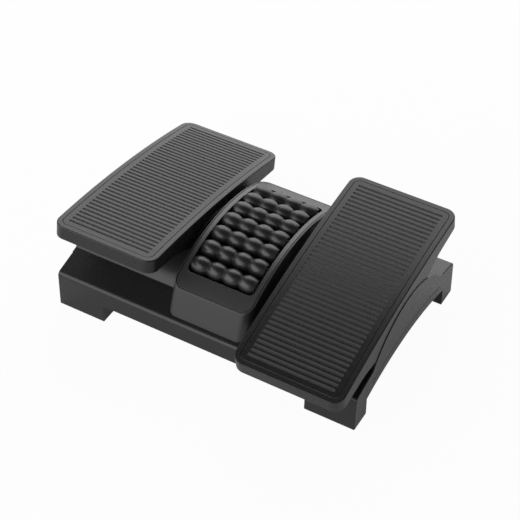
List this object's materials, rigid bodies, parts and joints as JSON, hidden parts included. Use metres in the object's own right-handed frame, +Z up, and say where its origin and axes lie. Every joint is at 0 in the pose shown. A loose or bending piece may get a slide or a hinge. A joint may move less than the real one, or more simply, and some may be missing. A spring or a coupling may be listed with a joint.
{
  "type": "adjustable footrest",
  "caption": "Under-desk footrest: ribbed pedals that glide and tilt over round humps in a moulded base, beside a crowned bed of massage rollers.",
  "frame": {"origin": "on the floor under the middle of the base", "axes": "+X from the left pedal to the right one, -Y to the front, +Z up"},
  "size_m": [0.45, 0.3722, 0.1458],
  "materials": {
    "shell_plastic": "fine moulded texture, charcoal",
    "pedal_plastic": "fine moulded texture, charcoal",
    "tread_plastic": "fine moulded texture, charcoal",
    "bezel_plastic": "fine moulded texture, charcoal",
    "roller_plastic": "satin, near black",
    "inner_plastic": "plain moulded, near black",
    "wheel_plastic": "plain acetal, grey",
    "axle_steel": "ground rod",
    "screw_steel": "zinc plated",
    "foot_rubber": "matte rubber",
    "stop_rubber": "matte rubber"
  },
  "bodies": {
    "base": {"base_shell": "shell_plastic", "roller_housing": "shell_plastic", "roller_bezel": "bezel_plastic", "roller_cradle": "inner_plastic", "housing_screws": "screw_steel", "cradle_screws": "screw_steel", "roller_axle_1": "axle_steel", "roller_axle_2": "axle_steel", "roller_axle_3": "axle_steel", "roller_axle_4": "axle_steel", "roller_axle_5": "axle_steel", "roller_axle_6": "axle_steel", "roller_axle_7": "axle_steel", "foot_pad_front_left": "foot_rubber", "stop_bumper_front_left": "stop_rubber", "foot_pad_rear_left": "foot_rubber", "stop_bumper_rear_left": "stop_rubber", "foot_pad_front_right": "foot_rubber", "stop_bumper_front_right": "stop_rubber", "foot_pad_rear_right": "foot_rubber", "stop_bumper_rear_right": "stop_rubber"},
    "pedal_left": {"pedal_tray_left": "pedal_plastic", "tread_plate_left": "tread_plastic", "keeper_left": "inner_plastic", "keeper_screws_left": "screw_steel"},
    "pedal_right": {"pedal_tray_right": "pedal_plastic", "tread_plate_right": "tread_plastic", "keeper_right": "inner_plastic", "keeper_screws_right": "screw_steel"},
    "wheelset_front_left": {"wheel_axle_front_left": "axle_steel", "glide_wheel_outer_front_left": "wheel_plastic", "glide_wheel_inner_front_left": "wheel_plastic"},
    "wheelset_rear_left": {"wheel_axle_rear_left": "axle_steel", "glide_wheel_outer_rear_left": "wheel_plastic", "glide_wheel_inner_rear_left": "wheel_plastic"},
    "wheelset_front_right": {"wheel_axle_front_right": "axle_steel", "glide_wheel_outer_front_right": "wheel_plastic", "glide_wheel_inner_front_right": "wheel_plastic"},
    "wheelset_rear_right": {"wheel_axle_rear_right": "axle_steel", "glide_wheel_outer_rear_right": "wheel_plastic", "glide_wheel_inner_rear_right": "wheel_plastic"},
    "roller_1": {"massage_roller_1": "roller_plastic"},
    "roller_2": {"massage_roller_2": "roller_plastic"},
    "roller_3": {"massage_roller_3": "roller_plastic"},
    "roller_4": {"massage_roller_4": "roller_plastic"},
    "roller_5": {"massage_roller_5": "roller_plastic"},
    "roller_6": {"massage_roller_6": "roller_plastic"},
    "roller_7": {"massage_roller_7": "roller_plastic"}
  },
  "joints": [
    {"name": "pedal_left_swing", "type": "hinge", "parent": "base", "child": "pedal_left", "pos_m": [-0.147, 0, -0.0098], "axis": [1, 0, 0], "range_deg": [0, 20.2]},
    {"name": "pedal_right_swing", "type": "hinge", "parent": "base", "child": "pedal_right", "pos_m": [0.147, 0, -0.0098], "axis": [1, 0, 0], "range_deg": [-20.2, 0]},
    {"name": "wheelset_front_left_roll", "type": "hinge", "parent": "pedal_left", "child": "wheelset_front_left", "pos_m": [-0.147, -0.03605, 0.11676], "axis": [1, 0, 0], "range_deg": [0, 312]},
    {"name": "wheelset_rear_left_roll", "type": "hinge", "parent": "pedal_left", "child": "wheelset_rear_left", "pos_m": [-0.147, 0.07754, 0.09653], "axis": [1, 0, 0], "range_deg": [0, 312]},
    {"name": "wheelset_front_right_roll", "type": "hinge", "parent": "pedal_right", "child": "wheelset_front_right", "pos_m": [0.147, -0.07754, 0.09653], "axis": [1, 0, 0], "range_deg": [-312, 0]},
    {"name": "wheelset_rear_right_roll", "type": "hinge", "parent": "pedal_right", "child": "wheelset_rear_right", "pos_m": [0.147, 0.03605, 0.11676], "axis": [1, 0, 0], "range_deg": [-312, 0]},
    {"name": "roller_1_spin", "type": "hinge", "parent": "base", "child": "roller_1", "pos_m": [0, -0.07879, 0.10795], "axis": [1, 0, 0], "continuous": true},
    {"name": "roller_2_spin", "type": "hinge", "parent": "base", "child": "roller_2", "pos_m": [0, -0.05312, 0.11561], "axis": [1, 0, 0], "continuous": true},
    {"name": "roller_3_spin", "type": "hinge", "parent": "base", "child": "roller_3", "pos_m": [0, -0.02674, 0.12025], "axis": [1, 0, 0], "continuous": true},
    {"name": "roller_4_spin", "type": "hinge", "parent": "base", "child": "roller_4", "pos_m": [0, 0, 0.1218], "axis": [1, 0, 0], "continuous": true},
    {"name": "roller_5_spin", "type": "hinge", "parent": "base", "child": "roller_5", "pos_m": [0, 0.02674, 0.12025], "axis": [1, 0, 0], "continuous": true},
    {"name": "roller_6_spin", "type": "hinge", "parent": "base", "child": "roller_6", "pos_m": [0, 0.05312, 0.11561], "axis": [1, 0, 0], "continuous": true},
    {"name": "roller_7_spin", "type": "hinge", "parent": "base", "child": "roller_7", "pos_m": [0, 0.07879, 0.10795], "axis": [1, 0, 0], "continuous": true}
  ],
  "couplings": [
    {"joint": "wheelset_front_left_roll", "follows": "pedal_left_swing", "ratio": 15.412},
    {"joint": "wheelset_rear_left_roll", "follows": "pedal_left_swing", "ratio": 15.412},
    {"joint": "wheelset_front_right_roll", "follows": "pedal_right_swing", "ratio": 15.412},
    {"joint": "wheelset_rear_right_roll", "follows": "pedal_right_swing", "ratio": 15.412}
  ]
}
